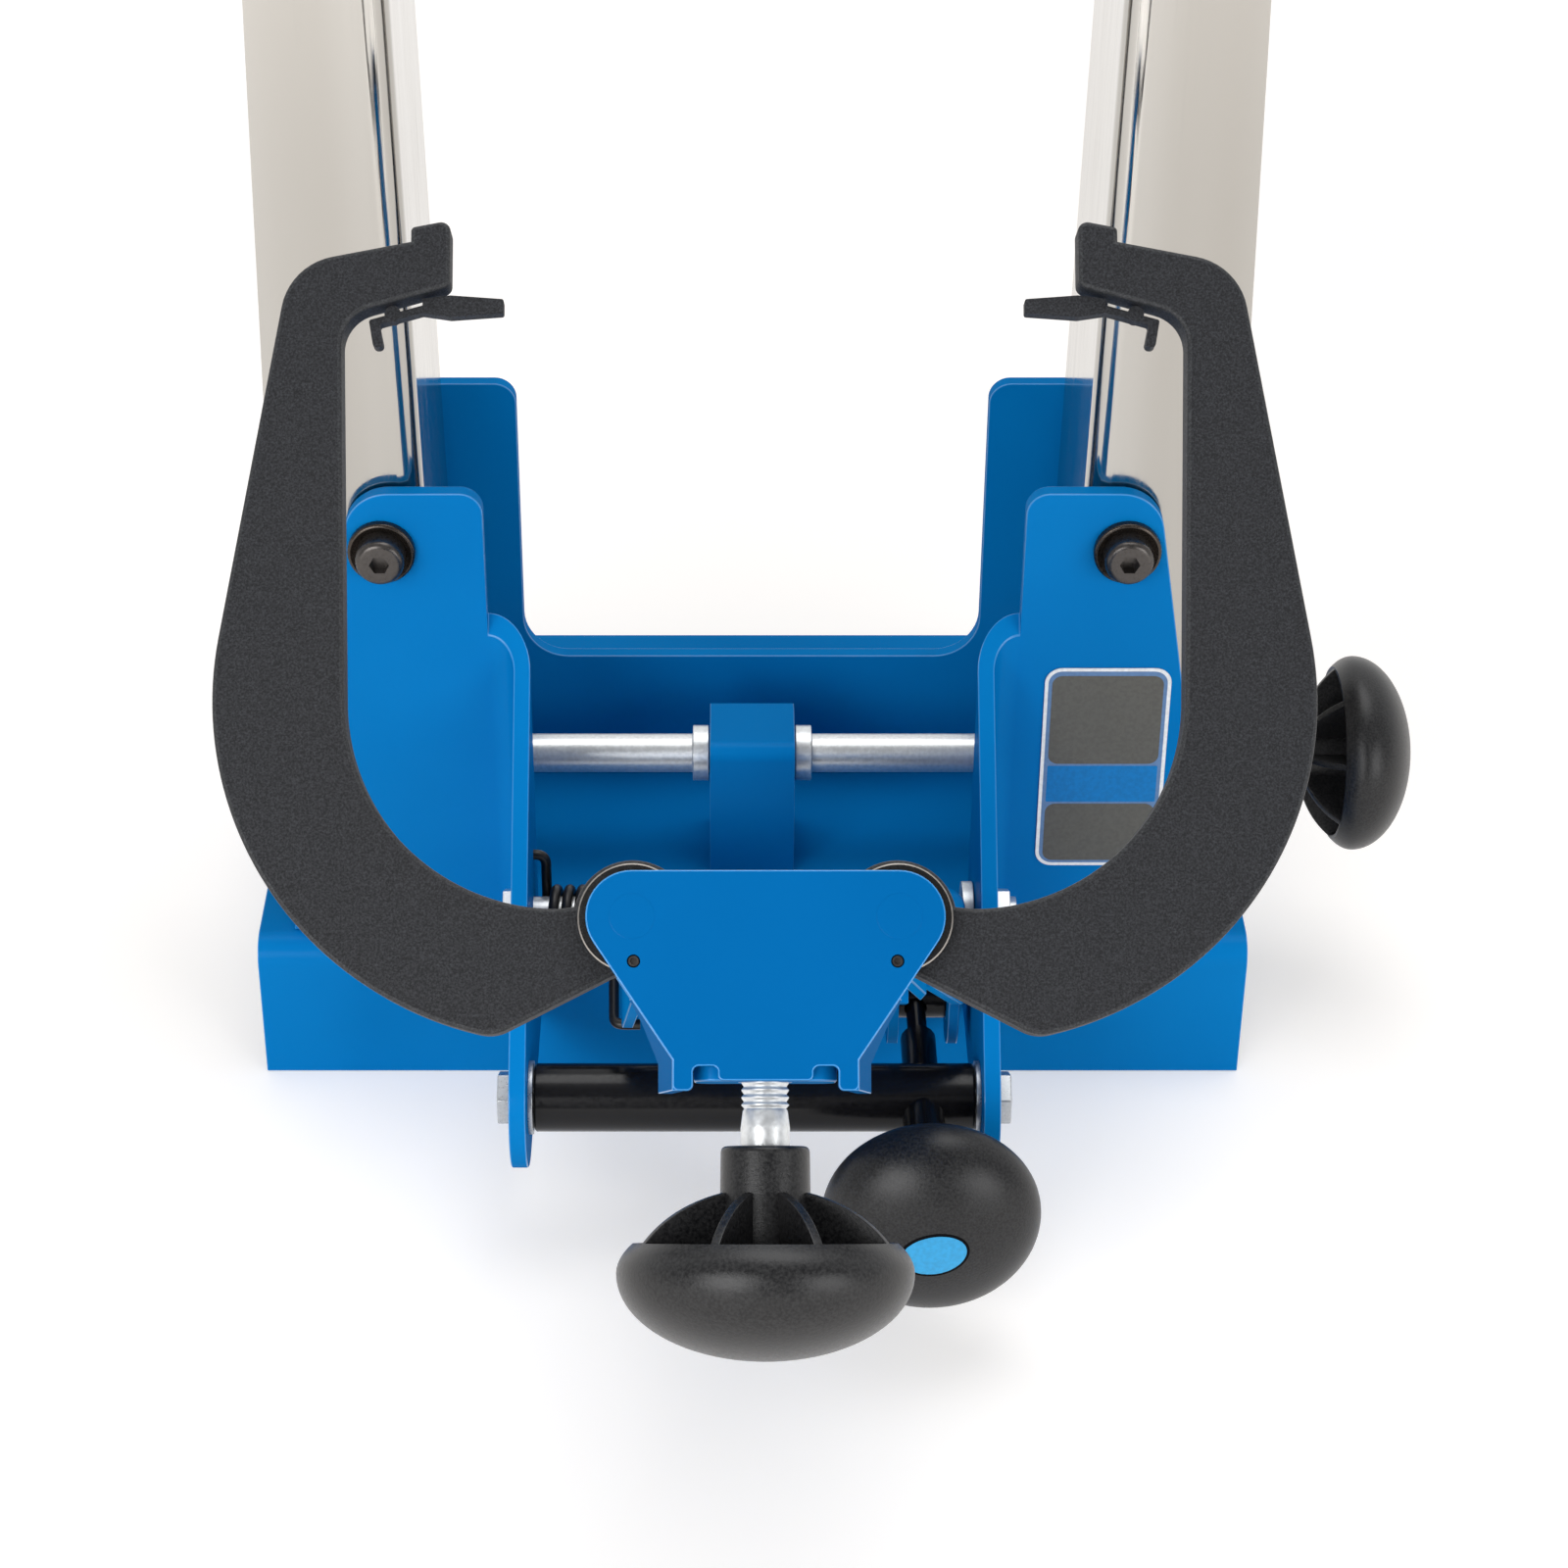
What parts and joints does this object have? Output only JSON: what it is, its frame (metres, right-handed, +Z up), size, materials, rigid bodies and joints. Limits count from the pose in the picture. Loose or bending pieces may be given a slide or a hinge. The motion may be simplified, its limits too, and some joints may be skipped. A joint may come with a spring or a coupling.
{
  "type": "bicycle wheel truing stand",
  "caption": "Wheel truing stand: folded base, spreading channel uprights with axle slots, and a tilting stalk with self-centring caliper arms, each set by a knob.",
  "frame": {"origin": "middle of the foot edge of the base's front wall, on the plane of symmetry and on the bench", "axes": "+X to the user's right, +Y away from the user, +Z up"},
  "size_m": [0.36, 0.5386, 0.5001],
  "materials": {
    "blue_paint": "gloss powder coat",
    "arm_coat": "fine textured dark coat on aluminium plate",
    "bright_plate": "bright plated steel",
    "zinc_steel": "zinc plated",
    "black_steel": "black oxide, oiled",
    "black_plastic": "satin black moulding"
  },
  "bodies": {
    "frame": {"base": "blue_paint", "front_bracket_left": "blue_paint", "front_bracket_right": "blue_paint", "rear_bracket": "blue_paint", "spindle_bearing": "blue_paint", "pivot_bolt_left": "black_steel", "pivot_bolt_right": "black_steel", "pivot_washer_left": "black_steel", "pivot_washer_right": "black_steel", "pivot_nut_left": "zinc_steel", "pivot_nut_right": "zinc_steel", "cross_shaft": "black_steel", "cross_shaft_washer_left": "zinc_steel", "cross_shaft_washer_right": "zinc_steel", "cross_shaft_bolt_left": "zinc_steel", "cross_shaft_bolt_right": "zinc_steel", "pivot_shaft": "zinc_steel", "pivot_shaft_nut": "zinc_steel", "pivot_shaft_inner_washer": "zinc_steel", "pivot_shaft_outer_washer": "zinc_steel", "torsion_spring": "black_steel"},
    "left_upright": {"upright_left": "bright_plate"},
    "right_upright": {"upright_right": "bright_plate"},
    "left_nut": {"barrel_nut_left": "zinc_steel"},
    "right_nut": {"barrel_nut_right": "zinc_steel"},
    "spindle_set": {"spindle": "zinc_steel", "side_knob": "black_plastic"},
    "stalk_set": {"stalk": "blue_paint", "clevis_plate": "blue_paint", "pivot_tube": "black_steel", "housing_front": "blue_paint", "housing_back": "blue_paint", "screw_plate": "blue_paint", "caliper_pin_left": "zinc_steel", "caliper_pin_right": "zinc_steel", "caliper_front_washer_left": "black_steel", "caliper_front_washer_right": "black_steel", "caliper_rear_washer_left": "black_steel", "caliper_rear_washer_right": "black_steel"},
    "height_nut": {"height_barrel": "black_steel"},
    "height_set": {"height_screw": "black_steel", "height_knob": "black_plastic"},
    "left_caliper": {"caliper_arm_left": "arm_coat", "caliper_tip_left": "black_steel"},
    "right_caliper": {"caliper_arm_right": "arm_coat", "caliper_tip_right": "black_steel"},
    "spool": {"caliper_spool": "black_steel"},
    "caliper_set": {"caliper_screw": "zinc_steel", "front_knob": "black_plastic"}
  },
  "joints": [
    {"name": "left_upright_tilt", "type": "hinge", "parent": "frame", "child": "left_upright", "pos_m": [-0.1056, 0.0521, 0.1796], "axis": [0, 1, 0], "range_deg": [-1.75, 12]},
    {"name": "right_upright_tilt", "type": "hinge", "parent": "frame", "child": "right_upright", "pos_m": [0.1056, 0.0521, 0.1796], "axis": [0, 1, 0], "range_deg": [-12, 1.75]},
    {"name": "left_nut_travel", "type": "slide", "parent": "frame", "child": "left_nut", "axis": [1, 0, 0], "range_m": [-0.02123, 0.0031]},
    {"name": "right_nut_travel", "type": "slide", "parent": "frame", "child": "right_nut", "axis": [1, 0, 0], "range_m": [-0.0031, 0.02123]},
    {"name": "spindle_turn", "type": "hinge", "parent": "frame", "child": "spindle_set", "pos_m": [0, 0.0521, 0.082], "axis": [1, 0, 0], "range_deg": [-371.52, 2547.54]},
    {"name": "stalk_tilt", "type": "hinge", "parent": "frame", "child": "stalk_set", "pos_m": [0, -0.0244, 0.075], "axis": [1, 0, 0], "range_deg": [-20, 10], "deforming": ["torsion_spring"]},
    {"name": "height_nut_travel", "type": "slide", "parent": "frame", "child": "height_nut", "axis": [0, 1, 0], "range_m": [-0.01114, 0.00557]},
    {"name": "height_screw_turn", "type": "hinge", "parent": "height_nut", "child": "height_set", "pos_m": [0.048, -0.0244, 0.045], "axis": [0, 1, 0], "range_deg": [-2673, 1336.5]},
    {"name": "left_caliper_swing", "type": "hinge", "parent": "stalk_set", "child": "left_caliper", "pos_m": [-0.0268, -0.27986, 0.25299], "axis": [0, 0.766, -0.6428], "range_deg": [-3, 20]},
    {"name": "right_caliper_swing", "type": "hinge", "parent": "stalk_set", "child": "right_caliper", "pos_m": [0.0268, -0.27986, 0.25299], "axis": [0, 0.766, -0.6428], "range_deg": [-20, 3]},
    {"name": "spool_travel", "type": "slide", "parent": "stalk_set", "child": "spool", "axis": [0, 0.6428, 0.766], "range_m": [-0.00586, 0.00088]},
    {"name": "caliper_screw_turn", "type": "hinge", "parent": "spool", "child": "caliper_set", "pos_m": [0, -0.3255, 0.1986], "axis": [0, 0.6428, 0.766], "range_deg": [-1687.93, 253.19]}
  ],
  "couplings": [
    {"joint": "right_upright_tilt", "follows": "left_upright_tilt", "ratio": -1},
    {"joint": "left_nut_travel", "follows": "left_upright_tilt", "m_per_rad": -0.099376},
    {"joint": "right_nut_travel", "follows": "left_upright_tilt", "m_per_rad": 0.099376},
    {"joint": "spindle_turn", "follows": "left_upright_tilt", "ratio": 208.13},
    {"joint": "height_nut_travel", "follows": "stalk_tilt", "m_per_rad": 0.031281},
    {"joint": "height_screw_turn", "follows": "stalk_tilt", "ratio": 131.03},
    {"joint": "right_caliper_swing", "follows": "left_caliper_swing", "ratio": -1},
    {"joint": "spool_travel", "follows": "left_caliper_swing", "m_per_rad": -0.016461},
    {"joint": "caliper_screw_turn", "follows": "left_caliper_swing", "ratio": -82.742}
  ]
}
